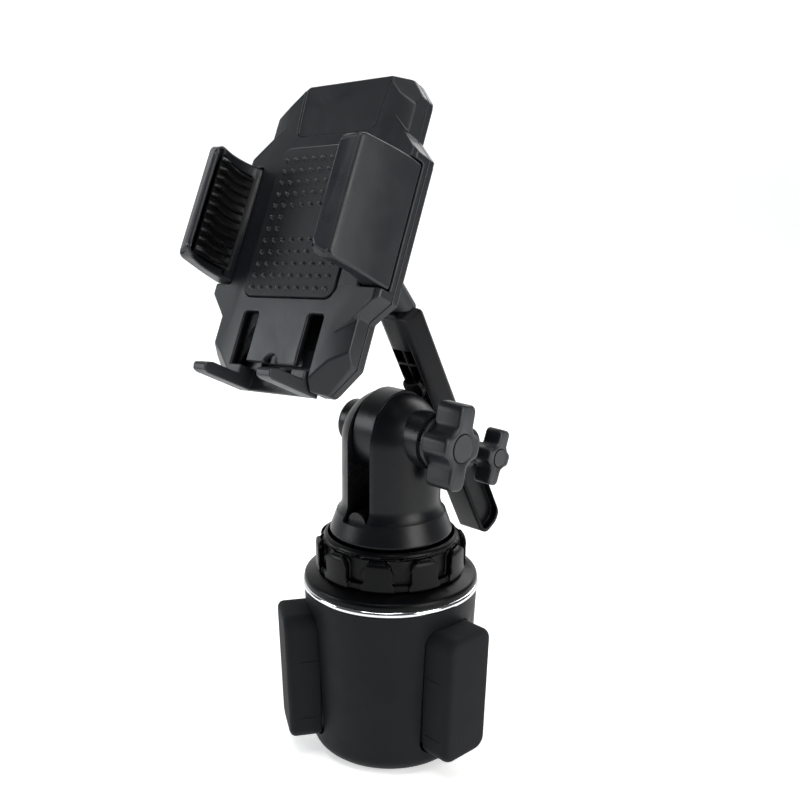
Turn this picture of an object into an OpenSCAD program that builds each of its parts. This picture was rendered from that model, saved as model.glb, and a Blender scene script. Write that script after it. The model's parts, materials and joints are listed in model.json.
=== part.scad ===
// Car phone mount for a cup holder: expanding cup base, twist dial, clevis neck,
// folding arm, ball joint and a phone cradle with spring-shut side clamps.
// Frame: origin at the centre of the foot, +Z up, +X along the neck's pivot bolt
// (from its cap to its knob), +Y towards the back. Millimetres.

/* [Cup base] */
// Radius of the cup at its rim
rim_r = 33.2; // [30:0.1:36]
// Radius of the cup at its foot
foot_r = 30.5; // [28:0.1:32]
// Height of the cup's rim above the foot
cup_h = 66.2; // [64:0.1:67]
// Wall thickness of the cup
cup_wall = 2.4; // [2:0.1:2.6]
// Turn of the three pads about the cup's axis
pad_turn = -4; // [-10:1:10]
// Distance from the axis to a pad's outer face at rest
pad_reach = 43; // [40:0.1:45]
// Width of a pad
pad_w = 22; // [18:0.5:23]

/* [Dial and neck] */
// Radius of the twist dial over its lobes
dial_r = 28.7; // [28:0.1:30]
// Number of grip lobes on the dial
dial_lobes = 10; // [8:1:12]
// Radial travel of a pad for each degree of dial turn
cam_rate = 0.1; // [0.08:0.01:0.11]
// Radius of the yoke and of its dome
yoke_r = 18.6; // [18:0.1:20]
// Height of the yoke's dome centre
dome_z = 123.8; // [120:0.1:126]
// Height of the neck's pivot bolt
pivot_z = 126.6; // [124:0.1:128]

/* [Arm] */
// Distance of the elbow behind the neck's axis
elbow_y = 35.5; // [34:0.1:38]
// Height of the elbow
elbow_z = 112.8; // [110:0.1:115]
// Forward lean of the arm
arm_lean = 28.5; // [26:0.1:29]
// Width of the arm across the pivot bolt
arm_w = 13; // [12.5:0.1:13.5]
// Depth of the arm from front to back
arm_d = 13.5; // [13:0.1:14]
// Radius of the ball on the arm's end
ball_r = 8.5; // [8.4:0.1:8.6]

/* [Cradle] */
// Backward tilt of the cradle
cradle_tilt = 27.5; // [20:0.5:32]
// Roll of the cradle about its own face normal
cradle_roll = 5.5; // [0:0.5:10]
// Half width of the cradle's body
body_u = 31; // [30.5:0.1:31.5]
// Half width of the cradle over its side wings
wing_u = 37.7; // [37.5:0.1:38]
// Pitch of the dots on the rubber pad
dot_pitch = 4.17; // [4:0.01:4.2]

/* [Hidden] */
$fn = 64;

shell_black = [0.16, 0.17, 0.19];
soft_black = [0.10, 0.10, 0.11];
steel = [0.72, 0.73, 0.75];
brass = [0.80, 0.66, 0.35];

// base
floor_z = 1;
foot_fillet = 6;
pad_z0 = 8.5;
pad_z1 = 58.9;
pad_depth = 14;
pad_taper = 1.9;
pad_gap = 0.4;
pad_corner = 5;
slider_t = 8;
pin_r = 2.1;
pin_rest = 21.6;
cam_slot_w = 5;
cam_in = 96;
cam_out = 30;
cam_z0 = 60.8;
cam_z1 = 64.2;
cam_r = 28.6;
spindle_r = 7.5;
run_fit = 0.06;
sleeve_r = 11;
ring_z1 = 68.6;
collar_top = 72.9;
dial_z0 = 73.3;
dial_z1 = 87.4;
dial_web = 76;
dial_core_r = 25.6;
lobe_arc = 22;
recess_half = dial_r * sin((360 / dial_lobes - lobe_arc) / 2);
flange_cut_r = 27.4;

// neck
cone_r = 23.2;
cone_z0 = 87.8;
yoke_z0 = 96.1;
slot_w = 11.2;
slot_z = 94.5;
boss_r = 10.3;
boss_x = 21;
cap_r = 8.6;
cap_x = 18.8;
bolt_r = 3;
link_t = 10;
head_r = 15.8;

// arm
tongue_t = 6;
fork_gap = 6.6;
eye_r = 7.4;
elbow_bolt_r = 2.5;
elbow_boss_r = 8.8;
elbow_boss_x = 7.6;
arm_top = 69;
arm_bottom = -43;
stem_r = 3.6;
collar_r = 5.2;
ball_y = -3.7;
ball_z = 93.7;
stem_y = 1.2;
stem_z = 67.3;
stem_tilt = atan((stem_y - ball_y) / (ball_z - stem_z));

// cradle: local x across, y depth behind the front face, z up the face
ball_depth = 31;
ball_up = 2;
top_z = 51.2;
bottom_z = -56;
part_y = 7.4;
back_y = 11.7;
shell_wall = 2.2;
facet_x = 24.5;
facet_y = 1.7;
clamp_z0 = -21.5;
clamp_z1 = 20.5;
clamp_x = 29.6;
pocket_y = 5.2;
rack_y0 = 2.6;
rack_y1 = 5;
rack_reach = 20;
gear_z = -0.5;
gear_teeth = 12;
gear_r = 6;
backlash = 0.3;
jaw_r = 21.7;
jaw_c = [9.6, -8];
lip_y = -22.6;
slot_x = 14.7;
foot_slot_w = 6.8;
slot_top = -31.4;
tongue_z = -48.5;
screw_x = 24;
screw_z = 37;
seat_r = 9.8;
socket_r = 11.5;

// ---- helpers -------------------------------------------------------------

// Points on an arc in the plane
function arc(c, r, a0, a1, n = 8) =
    [for (i = [0:n]) let (a = a0 + (a1 - a0) * i / n) c + r * [cos(a), sin(a)]];

// Rectangle centred on the origin with round corners
module round_rect(w, h, r) {
    square([w - 2 * r, h], center = true);
    square([w, h - 2 * r], center = true);
    for (x = [-1, 1], y = [-1, 1])
        translate([x * (w / 2 - r), y * (h / 2 - r)]) circle(r);
}

// Cylinder along +X from x0 to x1
module rod_x(r, x0, x1) {
    translate([x0, 0, 0]) rotate([0, 90, 0]) cylinder(r = r, h = x1 - x0);
}

// Cylinder along +Y from y0 to y1
module rod_y(r, y0, y1) {
    translate([0, y0, 0]) rotate([-90, 0, 0]) cylinder(r = r, h = y1 - y0);
}

// Cylinder along +Z from z0 to z1
module rod_z(r, z0, z1) {
    translate([0, 0, z0]) cylinder(r = r, h = z1 - z0);
}

// Extrudes an outline drawn in (y, z) along X, centred
module side_extrude(w) {
    rotate([90, 0, 90]) linear_extrude(w, center = true) children();
}

// Extrudes an outline drawn in (x, z) from depth y0 to depth y1
module face_extrude(y0, y1) {
    translate([0, y1, 0]) rotate([90, 0, 0]) linear_extrude(y1 - y0) children();
}

module at_pivot() {
    translate([0, 0, pivot_z]) children();
}

module at_arm() {
    translate([0, elbow_y, elbow_z]) rotate([arm_lean, 0, 0]) children();
}

module at_ball() {
    at_arm() translate([0, ball_y, ball_z]) children();
}

module at_stem() {
    at_ball() rotate([stem_tilt, 0, 0]) children();
}

// Cradle frame, hung on the ball's centre
module at_cradle() {
    at_ball() rotate([-cradle_tilt - arm_lean, 0, 0]) rotate([0, -cradle_roll, 0])
        translate([0, -ball_depth, -ball_up]) children();
}

// Same frame with its origin on the ball and +Z out of the cradle's front face
module at_socket() {
    at_cradle() translate([0, ball_depth, ball_up]) rotate([90, 0, 0]) children();
}

// ---- cup base ------------------------------------------------------------

function cup_wall_points(inset) = concat(
    arc([foot_r - foot_fillet, floor_z + foot_fillet], foot_fillet - inset, 270, 360, 10),
    [[rim_r - inset, cup_h]]);

module cup_solid(inset, z0) {
    rotate_extrude($fn = 120)
        polygon(concat([[0, z0]], [[foot_r - foot_fillet, z0]],
            cup_wall_points(inset), [[0, cup_h]]));
}

module at_pad(i) {
    rotate(pad_turn + 120 * i) children();
}

// Radial prism with round corners, spanning x0 to x1
module radial_block(x0, x1, w, z0, z1, r) {
    translate([x0, 0, (z0 + z1) / 2]) rotate([90, 0, 90])
        linear_extrude(x1 - x0) round_rect(w, z1 - z0, r);
}

module cup_shell() {
    color(shell_black) difference() {
        union() {
            difference() {
                cup_solid(0, floor_z);
                cup_solid(cup_wall, floor_z + cup_wall);
                rod_z(rim_r - cup_wall, 40, cup_h + 1);
            }
            rod_z(9, floor_z, 6.5);
        }
        for (i = [0:2]) at_pad(i)
            radial_block(18, 40, pad_w + 2 * pad_gap, pad_z0 - pad_gap, pad_z1 + pad_gap,
                pad_corner + pad_gap);
        rod_z(23.05, floor_z - 1, floor_z + 0.6);
        rod_z(4.6, floor_z, 3.8);
        rod_z(elbow_bolt_r, floor_z, 8);
    }
}

module foot_pad() {
    color(soft_black) difference() {
        rod_z(23, 0, floor_z + 0.6);
        for (r = [12, 16, 20])
            translate([0, 0, -0.1]) difference() {
                cylinder(r = r + 0.6, h = 0.6);
                cylinder(r = r - 0.6, h = 2, center = true);
            }
    }
}

module base_screw() {
    color(steel) difference() {
        union() {
            rod_z(4.5, 1.7, 3.8);
            rod_z(elbow_bolt_r, 3.8, 22);
        }
        rod_z(1.6, 1.6, 2.9);
    }
}

// Three radial tracks that keep the sliders square to the cup
module guide_frame() {
    color(shell_black) difference() {
        union() {
            rod_z(24.4, floor_z + cup_wall, 8.2);
            rod_z(10.2, floor_z + cup_wall, 26);
        }
        rod_z(9.02, 3, 6.5);
        rod_z(spindle_r, 3, 27);
        for (i = [0:2]) at_pad(i)
            translate([10.6, -4.2, 5.4]) cube([20, 8.4, 5]);
    }
}

module spindle() {
    color(steel) difference() {
        rod_z(spindle_r, 6.5, 88);
        rod_z(elbow_bolt_r, 6, 24);
        rod_z(bolt_r, 66, 89);
    }
}

module trim_ring() {
    mid = (cup_h + ring_z1) / 2;
    half = (ring_z1 - cup_h) / 2;
    color([0.86, 0.87, 0.88]) rotate_extrude($fn = 120) {
        translate([30.5, cup_h]) square([rim_r - 0.6 - 30.5, 2 * half]);
        translate([rim_r - 0.6, mid]) circle(half, $fn = 32);
    }
}

module top_collar() {
    lip = arc([rim_r - 1.9, ring_z1 + 1.1], 1.9, 0, 62, 5);
    color(shell_black) rotate_extrude($fn = 120)
        polygon(concat([[30.4, ring_z1], [rim_r, ring_z1]], lip,
            arc([27.2, 70.2], 2.7, 62, 90, 4),
            [[11.6, collar_top], [11.6, 70.5], [27.2, 70.5], [29, 68.8],
            [29, 63.6], [30.4, 63.6]]));
}

// Archimedean slot that drives one slider pin
function cam_edge(side, n) = [for (i = [0:n])
    let (a = -cam_out + (cam_in + cam_out) * i / n, r = pin_rest - cam_rate * a,
        slope = cam_rate * 180 / PI / r,
        d = side * cam_slot_w / 2 * sqrt(1 + slope * slope))
    (r + d) * [cos(a), sin(a)]];

module cam_slot() {
    linear_extrude(10, center = true) {
        polygon(concat(cam_edge(1, 24), [for (p = [24:-1:0]) cam_edge(-1, 24)[p]]));
        for (a = [-cam_out, cam_in])
            rotate(a) translate([pin_rest - cam_rate * a, 0]) circle(cam_slot_w / 2);
    }
}

module cam_plate() {
    color(steel) difference() {
        union() {
            rod_z(cam_r, cam_z0, cam_z1);
            rod_z(sleeve_r, cam_z0, dial_z0);
        }
        rod_z(spindle_r + run_fit, cam_z0 - 1, dial_z0 + 1);
        for (i = [0:2]) at_pad(i) translate([0, 0, cam_z0]) cam_slot();
        for (i = [0:2]) rotate(120 * i + 60) translate([9.3, 0, 0])
            rod_z(0.9, 66, dial_z0 + 1);
    }
}

// Outline of the recess between two lobes, drawn in (across, z) and open at the top
module dial_recess(top) {
    half = recess_half;
    r = 3.4;
    both_sides() polygon(concat([[-0.01, dial_z0 + 2.8], [half - 0.8, dial_z0 + 2.8],
        [half, dial_z0 + 3.6]], arc([half + r, top - r], r, 180, 90, 7),
        [[half + r, top + 1], [-0.01, top + 1]]));
}

module dial_ring() {
    top = dial_z1 - 2.2;
    color(shell_black) difference() {
        rotate_extrude($fn = 120)
            polygon(concat([[0, dial_z0], [dial_r - 0.5, dial_z0], [dial_r, dial_z0 + 0.5]],
                arc([dial_r - 2.2, top - 2.2], 2.2, 0, 80, 6),
                [[dial_core_r, top], [dial_core_r, dial_z1 - 1], [dial_core_r - 1, dial_z1],
                [0, dial_z1]]));
        for (i = [0:dial_lobes - 1]) rotate((i + 0.5) * 360 / dial_lobes - 21.2) {
            translate([dial_core_r, 0, 0]) rotate([90, 0, 90]) linear_extrude(6)
                dial_recess(top);
            translate([flange_cut_r, 0.8 - recess_half, dial_z0 - 1])
                cube([4, 2 * recess_half - 1.6, 3.9]);
        }
        rod_z(23.4, dial_web, dial_z1 + 1);
        rod_z(spindle_r + run_fit, dial_z0 - 1, dial_web + 1);
        for (i = [0:2]) rotate(120 * i + 60) translate([9.3, 0, 0]) {
            rod_z(0.9, dial_z0 - 1, dial_web + 1);
            rod_z(1.6, dial_web - 1.3, dial_web + 1);
        }
    }
}

module dial_screws() {
    color(steel) for (i = [0:2]) rotate(120 * i + 60) translate([9.3, 0, 0]) {
        rod_z(0.9, 66.5, dial_web - 0.2);
        rod_z(1.6, dial_web - 1.3, dial_web - 0.2);
    }
}

module slider(i) {
    inner = pad_reach - pad_depth - slider_t;
    color([0.30, 0.31, 0.33]) at_pad(i) {
        radial_block(inner, inner + slider_t, pad_w - 3, pad_z0 + 1, pad_z1 - 1, pad_corner);
        translate([inner, -3.9, 6.2]) cube([3.2, 7.8, 8]);
        translate([pin_rest - 4, -4, pad_z1 - 4]) cube([slider_t, 8, 5]);
        translate([pin_rest, 0, 0]) rod_z(pin_r, pad_z1 - 1, cam_z1 - 0.4);
    }
}

module grip_pad(i) {
    inner = pad_reach - pad_depth;
    top_corner = arc([pad_reach - 3, pad_z1 - 3], 3, 0, 90, 5);
    low_corner = arc([pad_reach - pad_taper - 3, pad_z0 + 3], 3, 270, 360, 5);
    color(soft_black) at_pad(i) difference() {
        intersection() {
            radial_block(inner, pad_reach + 1, pad_w, pad_z0, pad_z1, pad_corner);
            rotate([90, 0, 0]) linear_extrude(pad_w + 2, center = true)
                polygon(concat([[inner, pad_z0]], low_corner, top_corner, [[inner, pad_z1]]));
        }
        for (z = [17.5, 41], s = [-1, 1])
            translate([inner + 5, s * pad_w / 2, z]) cube([9, 0.8, 0.8], center = true);
    }
}

module slider_1() { slider(0); }
module slider_2() { slider(1); }
module slider_3() { slider(2); }
module grip_pad_1() { grip_pad(0); }
module grip_pad_2() { grip_pad(1); }
module grip_pad_3() { grip_pad(2); }

// ---- neck ----------------------------------------------------------------

module neck_yoke() {
    color(shell_black) difference() {
        union() {
            rotate_extrude($fn = 120)
                polygon(concat([[0, dial_web + 0.3], [12, dial_web + 0.3], [12, cone_z0]],
                    arc([cone_r - 0.9, cone_z0 + 0.9], 0.9, 270, 390, 5),
                    [[yoke_r + 2, yoke_z0]], arc([yoke_r + 7.6, yoke_z0 + 4.9], 7.6, 220, 180, 8),
                    [[yoke_r, dome_z], [0, dome_z]]));
            intersection() {
                translate([0, 0, dome_z]) sphere(yoke_r, $fn = 96);
                rod_z(yoke_r + 1, dome_z - 5, dome_z + yoke_r + 1);
            }
            at_pivot() rod_x(boss_r, 4 + slot_w / 2, boss_x);
            at_pivot() rod_x(cap_r, -cap_x, -4 - slot_w / 2);
        }
        difference() {
            translate([-slot_w / 2, -yoke_r - 5, slot_z])
                cube([slot_w, 2 * yoke_r + 10, 60]);
            translate([0, -yoke_r + 1, slot_z]) scale([1, 1, 1])
                rod_y(slot_w / 2 - 1.2, -1, 5);
        }
        rod_z(spindle_r, dial_web - 1, 88);
        rod_z(bolt_r, 87, slot_z + 1);
        at_pivot() rod_x(bolt_r + 0.04, -20, boss_x + 1);
        at_pivot() rod_x(6.2, -cap_x - 1, -13.5);
    }
}

module neck_bolt() {
    color(steel) difference() {
        union() {
            rod_z(bolt_r, 67, slot_z);
            rod_z(5, slot_z, slot_z + 2.6);
        }
        translate([0, 0, slot_z + 1.2]) cylinder(r = 2.3, h = 3, $fn = 6);
    }
}

module pivot_bolt() {
    color(steel) at_pivot() {
        rod_x(bolt_r, -14, 31.9);
        translate([-17.2, 0, 0]) rotate([0, 90, 0]) cylinder(r = 5.8, h = 3.7, $fn = 6);
    }
}

module pivot_cap() {
    color(shell_black) at_pivot() {
        difference() {
            rod_x(6.2, -cap_x, -17.2);
            rod_x(3, -cap_x + 0.6, -17);
        }
        intersection() {
            rod_x(cap_r, -cap_x - 2.4, -cap_x);
            translate([-cap_x + 19.6, 0, 0]) sphere(22.3, $fn = 96);
        }
    }
}

module pivot_washer() {
    color(steel) at_pivot() difference() {
        rod_x(8.4, boss_x, boss_x + 0.9);
        rod_x(bolt_r + 0.1, boss_x - 1, boss_x + 2);
    }
}

module friction_washers() {
    color(steel) at_pivot() for (s = [-1, 1])
        difference() {
            rod_x(11, s * (slot_w / 2 - 0.25) - 0.25, s * (slot_w / 2 - 0.25) + 0.25);
            rod_x(bolt_r + 0.1, -slot_w, slot_w);
        }
}

// Concave corner between two bars that cross at right angles
module inner_corner(x, y, r) {
    translate([x, y]) difference() {
        square(r);
        translate([r, r]) circle(r);
    }
}

// Face outline of a knob: two long lobes and two short ones round a hub
module knob_outline(long_r, short_r, w) {
    round_rect(w, 2 * long_r, w * 0.36);
    round_rect(2 * short_r, w * 0.94, w * 0.36);
    circle(short_r * 0.76);
    for (s = [0, 1], t = [0, 1]) mirror([s, 0]) mirror([0, t])
        inner_corner(w / 2 - 0.01, w * 0.47 - 0.01, w * 0.42);
}

// Knob turned about X: lobes from x0 to the face, barrel down to the flange at base_x
module knob(base_x, lobe_x, face_x, long_r, short_r, long_w, flange_r, cap, bore) {
    difference() {
        union() {
            rod_x(flange_r, base_x, base_x + 1.4);
            rod_x(short_r * 0.66, base_x, face_x);
            translate([lobe_x, 0, 0]) rotate([90, 0, 90]) linear_extrude(face_x - lobe_x)
                knob_outline(long_r, short_r, long_w);
        }
        rod_x(bore, base_x - 1, face_x - 2);
        rod_x(cap + 0.15, face_x - 1.2, face_x + 1);
    }
}

knob_1_turn = -13;
knob_2_turn = -22;

module knob_1() {
    color(shell_black) at_pivot() rotate([knob_1_turn, 0, 0])
        knob(boss_x + 0.95, 22.6, 34.2, 15.6, 9.8, 8.6, 9.4, 5.2, 4.6);
}

module knob_1_insert() {
    color(brass) at_pivot() difference() {
        rod_x(4.6, boss_x + 1.2, 32.2);
        rod_x(bolt_r + 0.05, boss_x, 33);
    }
}

module knob_1_cap() {
    color(shell_black) at_pivot() rod_x(5.1, 33, 34.35);
}

// ---- lower link ----------------------------------------------------------

link_len = sqrt(elbow_y * elbow_y + (pivot_z - elbow_z) * (pivot_z - elbow_z));
link_dip = atan((pivot_z - elbow_z) / elbow_y);

module lower_link() {
    color(shell_black) at_pivot() difference() {
        union() {
            rod_x(head_r, -link_t / 2, link_t / 2);
            rotate([-link_dip, 0, 0]) side_extrude(tongue_t) {
                translate([0, -6.4]) square([link_len, 12.8]);
                translate([link_len, 0]) circle(eye_r);
            }
        }
        rod_x(bolt_r + 0.05, -link_t, link_t);
        rotate([-link_dip, 0, 0]) translate([0, link_len, 0])
            rod_x(elbow_bolt_r + 0.05, -link_t, link_t);
    }
}

// ---- arm -----------------------------------------------------------------

module arm_side() {
    f = -arm_d / 2;
    b = arm_d / 2;
    polygon(concat(
        arc([f + 4, arm_bottom + 4], 4, 180, 270, 6),
        arc([b - 6.5, arm_bottom + 6.5], 6.5, 270, 360, 10),
        arc([b - 11, arm_top - 11], 11, 0, 90, 12),
        arc([f + 2.5, arm_top - 2.5], 2.5, 90, 180, 5)));
}

// Sunk panel of the tail: the tail's own outline, one wall thickness in
module tail_panel() {
    f = 1.3 - arm_d / 2;
    b = arm_d / 2 - 1.3;
    z = arm_bottom + 1.5;
    polygon(concat(arc([f + 2.8, z + 2.8], 2.8, 180, 270, 5),
        arc([b - 5.2, z + 5.2], 5.2, 270, 360, 8),
        arc([b - 1.5, -11], 1.5, 0, 90, 3), arc([f + 1.5, -11], 1.5, 90, 180, 3)));
}

module arm_beam() {
    color(shell_black) at_arm() difference() {
        union() {
            intersection() {
                side_extrude(arm_w) arm_side();
                union() {
                    linear_extrude(arm_top) round_rect(arm_w, arm_d, 4);
                    translate([0, 0, arm_bottom]) linear_extrude(-arm_bottom)
                        round_rect(arm_w, arm_d, 1.8);
                }
                face_extrude(-arm_d, arm_d) {
                    translate([0, arm_top - 20]) round_rect(arm_w, 40, 5.4);
                    translate([-arm_w / 2, arm_bottom]) square([arm_w, arm_top - arm_bottom - 20]);
                }
            }
            rod_x(elbow_boss_r, -elbow_boss_x, elbow_boss_x);
            translate([0, 0, 35.6]) rod_y(4.7, -arm_d / 2 - 1.2, 0);
        }
        // fork that takes the link's tongue
        side_extrude(fork_gap) {
            circle(eye_r + 0.5);
            translate([0, -7]) square([20, 14]);
            for (a = [27:7:62]) rotate(90 + a) translate([0, -6.8]) square([30, 13.6]);
        }
        rod_x(elbow_bolt_r, -10, 10);
        translate([-12, 0, 0]) rotate([0, 90, 0]) cylinder(r = 4.7, h = 6.2, $fn = 6);
        // ribbed pocket in the front face
        difference() {
            face_extrude(-arm_d, -1.6) {
                translate([0, 47.6]) square([9.2, 11], center = true);
                translate([0, 42.2]) circle(4.6);
            }
            translate([0.2, -arm_d / 2 + 0.5, 30]) cube([1, arm_d, 30]);
            translate([-6, -arm_d / 2 + 0.5, 45.6]) cube([12, arm_d, 1]);
        }
        // sunk panel on the knob side of the tail
        translate([arm_w / 2 - 3, 0, 0]) rotate([90, 0, 90]) linear_extrude(5) tail_panel();
        // bore for the ball stud and seat for its collar
        translate([0, ball_y, ball_z]) rotate([stem_tilt, 0, 0]) {
            rod_z(stem_r, -45, -10);
            rod_z(collar_r, -29, -10);
        }
        translate([0, 0, 57]) rod_x(1.25, -10, 4);
    }
}

module elbow_bolt() {
    color(steel) at_arm() {
        rod_x(elbow_bolt_r, -6, 21.4);
        translate([-9, 0, 0]) rotate([0, 90, 0]) cylinder(r = 4.6, h = 3.2, $fn = 6);
    }
}

module elbow_washer() {
    color(steel) at_arm() difference() {
        rod_x(5.8, elbow_boss_x, elbow_boss_x + 0.8);
        rod_x(elbow_bolt_r + 0.1, 5, 10);
    }
}

module knob_2() {
    color(shell_black) at_arm() rotate([knob_2_turn - arm_lean, 0, 0])
        knob(elbow_boss_x + 0.85, 16.2, 24, 10.9, 6.8, 6.2, 6.4, 3.5, 3.6);
}

module knob_2_insert() {
    color(brass) at_arm() difference() {
        rod_x(3.6, elbow_boss_x + 1, 21.8);
        rod_x(elbow_bolt_r + 0.05, 8, 23);
    }
}

module knob_2_cap() {
    color(shell_black) at_arm() rod_x(3.4, 22.8, 24.15);
}

module stem_collar() {
    color(shell_black) at_stem() difference() {
        union() {
            rod_z(collar_r, -29, -17.6);
            translate([0, 0, -17.6]) cylinder(r1 = collar_r, r2 = collar_r - 0.8, h = 0.8);
        }
        rod_z(stem_r, -30, -16);
    }
}

module ball_stud() {
    color(steel) at_stem() difference() {
        union() {
            sphere(ball_r, $fn = 96);
            rod_z(stem_r, -45, -4);
        }
        rotate([-stem_tilt, 0, 0]) translate([0, -ball_y, 57 - ball_z])
            rod_x(1.25, -10, 4);
    }
}

module stud_pin() {
    color(steel) at_arm() translate([0, 0, 57]) rod_x(1.25, -6.1, 4);
}

// ---- ball joint ----------------------------------------------------------

// Zone of a spherical shell between two heights
module ball_zone(r_in, r_out, z0, z1) {
    difference() {
        intersection() {
            sphere(r_out, $fn = 96);
            rod_z(r_out + 1, z0, z1);
        }
        sphere(r_in, $fn = 96);
    }
}

module ball_seat() {
    color([0.85, 0.85, 0.82]) at_socket() difference() {
        ball_zone(ball_r + 0.05, seat_r, 4.6, 9);
        rod_z(3, 0, 12);
    }
}

module friction_ring() {
    color(soft_black) at_socket() ball_zone(ball_r + 0.05, seat_r, -3, -0.6);
}

module ring_nut() {
    bore = socket_r + 0.35;
    color(shell_black) at_socket() {
        rotate_extrude($fn = 96)
            polygon([[bore, 7], [13, 7], [13.9, 6.1], [13.9, -4.8], [13.1, -5.6], [10.9, -5.6],
                [8.4, -3.7], [8.4, -3.2], [seat_r + 0.15, -3.2], [seat_r + 0.15, -2.2],
                [bore, -2.2]]);
        for (i = [0:23]) rotate(15 * i) translate([13.7, 0, 0]) rod_z(0.8, -4.4, 5.6);
    }
}

// ---- cradle --------------------------------------------------------------

// Hollow of the two shells, kept off the bevelled corners
module shell_hollow() {
    intersection() {
        cradle_outline(-shell_wall);
        union() {
            translate([-28.2, -44]) square([56.4, 84]);
            translate([-19, 39]) square([38, 20]);
            translate([-18.6, -60]) square([37.2, 17]);
        }
    }
}

// Half outline of the cradle's body, mirrored about x = 0
function body_half(grow = 0) = concat([[0, top_z + grow]],
    arc([23.5, top_z - 2.5], 2.5 + grow, 90, 45, 4),
    arc([body_u - 2.5, 43.2], 2.5 + grow, 40, 0, 4),
    arc([body_u - 2.5, -45.6], 2.5 + grow, 0, -42, 4),
    arc([22.2, bottom_z + 2.5], 2.5 + grow, -48, -90, 4), [[0, bottom_z - grow]]);
wing_half = [[0, 36.2], [facet_x, 36.2], [wing_u, 23.4], [wing_u, -24.9], [facet_x, -37.5],
    [0, -37.5]];

module both_sides() {
    children();
    mirror([1, 0]) children();
}

module cradle_outline(grow = 0) {
    both_sides() polygon(body_half(grow));
}

module wing_outline() {
    both_sides() polygon(wing_half);
}

// Opening for the feet at the lower edge
module foot_opening() {
    translate([-slot_x - foot_slot_w / 2, bottom_z - 5])
        square([2 * slot_x + foot_slot_w, tongue_z - bottom_z + 5]);
    for (s = [-1, 1]) translate([s * slot_x - foot_slot_w / 2, 0]) {
        translate([0, bottom_z - 5]) square([foot_slot_w, slot_top - bottom_z + 3.5]);
        translate([1.5, slot_top - 3]) square([foot_slot_w - 3, 3]);
        for (x = [1.5, foot_slot_w - 1.5]) translate([x, slot_top - 1.5]) circle(1.5);
    }
    translate([0, tongue_z]) circle(3);
}

module front_body() {
    intersection() {
        face_extrude(0, part_y) cradle_outline();
        linear_extrude(200, center = true)
            polygon([[-body_u, part_y], [-body_u, facet_y], [-facet_x, 0], [facet_x, 0],
                [body_u, facet_y], [body_u, part_y]]);
    }
    intersection() {
        face_extrude(0, part_y) wing_outline();
        linear_extrude(200, center = true)
            polygon([[-wing_u, part_y], [-wing_u, 1.4], [-wing_u + 1.4, 0],
                [wing_u - 1.4, 0], [wing_u, 1.4], [wing_u, part_y]]);
    }
}

// Sloping facet along an outline edge: p is on the edge, a its outward direction
module edge_bevel(p, a, depth) {
    translate([p[0], 0, p[1]]) rotate([0, -a, 0]) linear_extrude(60, center = true)
        polygon([[-depth - 1, -1], [12, depth + 12], [12, -1]]);
}

module corner_bevels() {
    for (s = [0, 1]) mirror([s, 0, 0]) {
        edge_bevel([27.4, 47.5], 46, 4.4);
        edge_bevel([26.8, -50.6], -46, 4.6);
    }
}

module front_shell() {
    color(shell_black) difference() {
        front_body();
        // hollow behind the front wall, with a boss round each shell screw
        difference() {
            face_extrude(shell_wall, part_y + 1) shell_hollow();
            shell_screw_places() rod_y(2.8, 0, part_y + 2);
        }
        shell_screw_places() rod_y(1.3, shell_wall, part_y + 1);
        // recessed panel at the top
        face_extrude(-1, 0.8) {
            polygon([[-17.8, 33.2], [-16.2, 31.6], [16.2, 31.6], [17.8, 33.2],
                [20.4, 60], [-20.4, 60]]);
        }
        // seat of the rubber pad
        face_extrude(-1, 0.6) dot_pad_outline(0.1);
        // pockets for the clamps, and the gaps for their racks
        for (s = [-1, 1]) {
            translate([s > 0 ? clamp_x - 0.3 : -60, -1, clamp_z0 - 0.4])
                cube([60 - clamp_x + 0.3, 1 + pocket_y, clamp_z1 - clamp_z0 + 0.8]);
            translate([s > 0 ? 27 : -31, rack_y0 - 0.3, gear_z + (s > 0 ? 5.3 : -13.8)])
                cube([4, pocket_y - rack_y0 + 0.3, 8.5]);
        }
        face_extrude(-1, part_y + 1) foot_opening();
        corner_bevels();
    }
}

module dot_pad_outline(grow = 0) {
    translate([-0.6, 0.3]) {
        square([41 + 2 * grow - 8, 53 + 2 * grow], center = true);
        square([41 + 2 * grow, 53 + 2 * grow - 8], center = true);
        for (x = [-1, 1], y = [-1, 1])
            translate([x * (16.5 + grow), y * (22.5 + grow)]) circle(4);
    }
}

module dot_pad() {
    color(soft_black) at_cradle() face_extrude(-0.7, 0.6) dot_pad_outline();
}

module shell_screw_places() {
    for (s = [-1, 1], z = [screw_z, -38]) translate([s * screw_x, 0, z]) children();
}

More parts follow.
